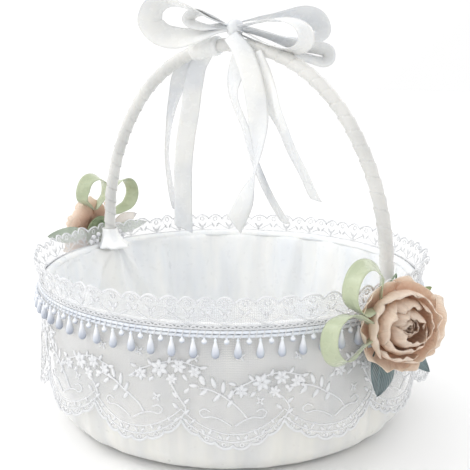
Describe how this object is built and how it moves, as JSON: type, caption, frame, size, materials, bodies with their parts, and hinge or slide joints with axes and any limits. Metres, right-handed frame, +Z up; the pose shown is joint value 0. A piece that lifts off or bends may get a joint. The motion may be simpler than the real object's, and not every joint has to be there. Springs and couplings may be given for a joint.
{
  "type": "flower girl basket",
  "caption": "Round satin-covered basket with a tall arched handle, lace skirt and collar, swinging pearl fringe, bow with loose tails, and a rose at each handle foot.",
  "frame": {"origin": "centre of the base, on the surface that the basket rests on", "axes": "+Z up; the handle stands over the X axis; +X is towards the near flower; +Y is the side that the two left tails hang on"},
  "size_m": [0.3018, 0.2522, 0.2598],
  "materials": {
    "satin": "satin",
    "lining_satin": "satin",
    "ribbon_satin": "satin",
    "lace": "matt embroidered net",
    "cord": "twisted, slight sheen",
    "pearl": "pearl",
    "green_satin": "satin",
    "leaf_fabric": "satin",
    "organza": "sheer organza",
    "rose_heart": "sheer organza",
    "calyx": "matt",
    "shell": "matt moulding",
    "card": "matt card",
    "wire": "satin paint"
  },
  "bodies": {
    "basket": {"base_disc": "card", "bow_band": "ribbon_satin", "bow_knot": "ribbon_satin", "bow_loop_left_large": "ribbon_satin", "bow_loop_left_small": "ribbon_satin", "bow_loop_right_front": "ribbon_satin", "bow_loop_right_low": "ribbon_satin", "bow_loop_right_top": "ribbon_satin", "bowl_shell": "shell", "far_bead_spray": "pearl", "far_leaves": "leaf_fabric", "far_loop_left": "green_satin", "far_loop_right": "green_satin", "far_organza": "ribbon_satin", "far_rose_bud": "rose_heart", "far_rose_inner_petals": "rose_heart", "far_rose_outer_petals": "organza", "far_rose_pad": "calyx", "far_tie_wire": "wire", "floor_card": "satin", "handle_core": "shell", "handle_ties": "shell", "handle_wrap": "satin", "lace_collar": "lace", "lace_skirt": "lace", "lining": "lining_satin", "near_leaves": "leaf_fabric", "near_loop_lower": "green_satin", "near_loop_upper": "green_satin", "near_rose_bud": "rose_heart", "near_rose_inner_petals": "rose_heart", "near_rose_outer_petals": "organza", "near_rose_pad": "calyx", "near_tie_wire": "wire", "outer_cover": "satin", "pearl_fringe_pinned": "pearl", "rim_binding": "satin", "trim_cord_lower": "cord", "trim_cord_upper": "cord"},
    "fringe_00": {"pearl_fringe_00": "pearl"},
    "fringe_01": {"pearl_fringe_01": "pearl"},
    "fringe_02": {"pearl_fringe_02": "pearl"},
    "fringe_03": {"pearl_fringe_03": "pearl"},
    "fringe_04": {"pearl_fringe_04": "pearl"},
    "fringe_05": {"pearl_fringe_05": "pearl"},
    "fringe_06": {"pearl_fringe_06": "pearl"},
    "fringe_07": {"pearl_fringe_07": "pearl"},
    "fringe_09": {"pearl_fringe_09": "pearl"},
    "fringe_10": {"pearl_fringe_10": "pearl"},
    "fringe_11": {"pearl_fringe_11": "pearl"},
    "fringe_12": {"pearl_fringe_12": "pearl"},
    "fringe_13": {"pearl_fringe_13": "pearl"},
    "fringe_14": {"pearl_fringe_14": "pearl"},
    "tails_left": {"bow_tail_a": "ribbon_satin", "bow_tail_b": "ribbon_satin"},
    "tail_c": {"bow_tail_c": "ribbon_satin"},
    "tail_d": {"bow_tail_d": "ribbon_satin"},
    "tail_e": {"bow_tail_e": "ribbon_satin"}
  },
  "joints": [
    {"name": "fringe_swing_00", "type": "hinge", "parent": "basket", "child": "fringe_00", "pos_m": [0.12112, 0.02264, 0.0852], "axis": [0.1838, -0.983, 0], "range_deg": [0, 60]},
    {"name": "fringe_swing_01", "type": "hinge", "parent": "basket", "child": "fringe_01", "pos_m": [0.10476, 0.06487, 0.0852], "axis": [0.5264, -0.8502, 0], "range_deg": [0, 60]},
    {"name": "fringe_swing_02", "type": "hinge", "parent": "basket", "child": "fringe_02", "pos_m": [0.07426, 0.09833, 0.0852], "axis": [0.798, -0.6026, 0], "range_deg": [0, 60]},
    {"name": "fringe_swing_03", "type": "hinge", "parent": "basket", "child": "fringe_03", "pos_m": [0.03372, 0.11851, 0.0852], "axis": [0.9618, -0.2737, 0], "range_deg": [0, 60]},
    {"name": "fringe_swing_04", "type": "hinge", "parent": "basket", "child": "fringe_04", "pos_m": [-0.01137, 0.12269, 0.0852], "axis": [0.9957, 0.0923, 0], "range_deg": [0, 60]},
    {"name": "fringe_swing_05", "type": "hinge", "parent": "basket", "child": "fringe_05", "pos_m": [-0.05492, 0.1103, 0.0852], "axis": [0.8952, 0.4457, 0], "range_deg": [0, 60]},
    {"name": "fringe_swing_06", "type": "hinge", "parent": "basket", "child": "fringe_06", "pos_m": [-0.09106, 0.08301, 0.0852], "axis": [0.6737, 0.739, 0], "range_deg": [0, 60]},
    {"name": "fringe_swing_07", "type": "hinge", "parent": "basket", "child": "fringe_07", "pos_m": [-0.1149, 0.04451, 0.0852], "axis": [0.3612, 0.9325, 0], "range_deg": [0, 60]},
    {"name": "fringe_swing_09", "type": "hinge", "parent": "basket", "child": "fringe_09", "pos_m": [-0.1149, -0.04451, 0.0852], "axis": [-0.3612, 0.9325, 0], "range_deg": [0, 60]},
    {"name": "fringe_swing_10", "type": "hinge", "parent": "basket", "child": "fringe_10", "pos_m": [-0.09106, -0.08301, 0.0852], "axis": [-0.6737, 0.739, 0], "range_deg": [0, 60]},
    {"name": "fringe_swing_11", "type": "hinge", "parent": "basket", "child": "fringe_11", "pos_m": [-0.05492, -0.1103, 0.0852], "axis": [-0.8952, 0.4457, 0], "range_deg": [0, 60]},
    {"name": "fringe_swing_12", "type": "hinge", "parent": "basket", "child": "fringe_12", "pos_m": [-0.01137, -0.12269, 0.0852], "axis": [-0.9957, 0.0923, 0], "range_deg": [0, 60]},
    {"name": "fringe_swing_13", "type": "hinge", "parent": "basket", "child": "fringe_13", "pos_m": [0.03372, -0.11851, 0.0852], "axis": [-0.9618, -0.2737, 0], "range_deg": [0, 60]},
    {"name": "fringe_swing_14", "type": "hinge", "parent": "basket", "child": "fringe_14", "pos_m": [0.07426, -0.09833, 0.0852], "axis": [-0.798, -0.6026, 0], "range_deg": [0, 60]},
    {"name": "tail_swing_left", "type": "hinge", "parent": "basket", "child": "tails_left", "pos_m": [-0.027, 0.0086, 0.233], "axis": [0.9951, -0.0986, 0], "range_deg": [0, 35]},
    {"name": "tail_swing_c", "type": "hinge", "parent": "basket", "child": "tail_c", "pos_m": [0.0115, -0.0054, 0.228], "axis": [0.9681, -0.2506, 0], "range_deg": [0, 20]},
    {"name": "tail_swing_d", "type": "hinge", "parent": "basket", "child": "tail_d", "pos_m": [0.007, -0.0088, 0.2372], "axis": [-0.9262, 0.3771, 0], "range_deg": [0, 40]},
    {"name": "tail_swing_e", "type": "hinge", "parent": "basket", "child": "tail_e", "pos_m": [0.0235, -0.0064, 0.227], "axis": [0.9757, -0.219, 0], "range_deg": [0, 18]}
  ]
}
